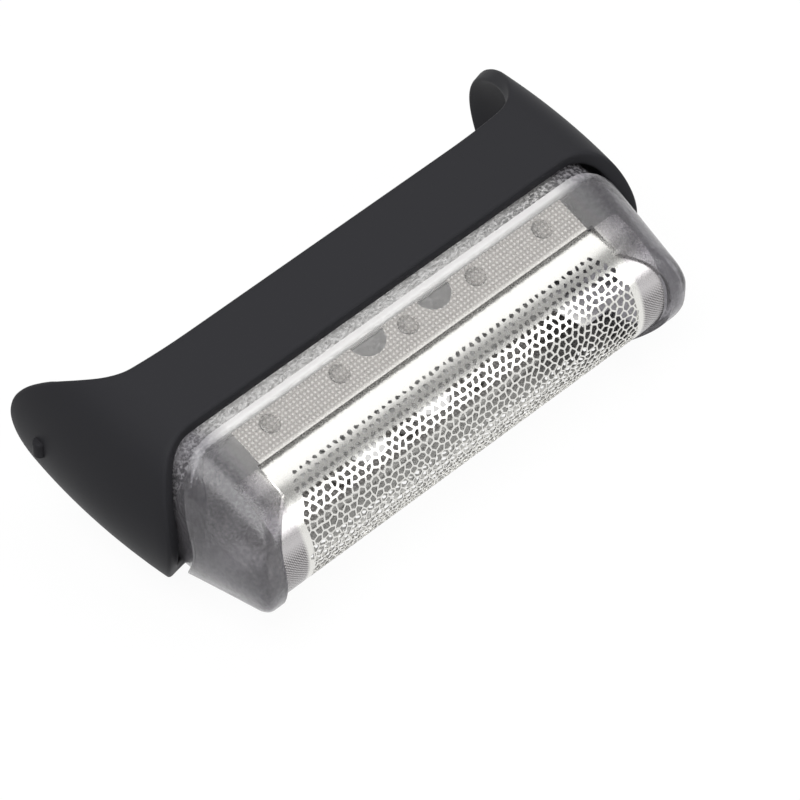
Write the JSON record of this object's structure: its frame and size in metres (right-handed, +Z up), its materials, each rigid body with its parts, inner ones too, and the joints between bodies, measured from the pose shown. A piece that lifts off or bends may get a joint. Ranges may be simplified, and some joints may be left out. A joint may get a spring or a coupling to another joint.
{
  "type": "shaver foil head",
  "caption": "Clip-on shaver head: a belt-shaped black frame with two ears, holding a smoky clear carrier with an arched perforated foil that floats in the frame.",
  "frame": {"origin": "bottom centre of the box of the head as it lies on its back wall", "axes": "+X along the head, +Z up out of the front wall, -Y out through the foil"},
  "size_m": [0.0604, 0.0314, 0.019],
  "materials": {
    "black_plastic": "satin black moulded plastic",
    "smoky_plastic": "smoky translucent moulded plastic, frosted neck",
    "foil_metal": "bright electroformed foil"
  },
  "bodies": {
    "frame": {"outer_frame": "black_plastic"},
    "cassette": {"foil_carrier": "smoky_plastic", "shaving_foil": "foil_metal"}
  },
  "joints": [
    {"name": "foil_float", "type": "slide", "parent": "frame", "child": "cassette", "axis": [0, 1, 0], "range_m": [0, 0.0012]}
  ]
}
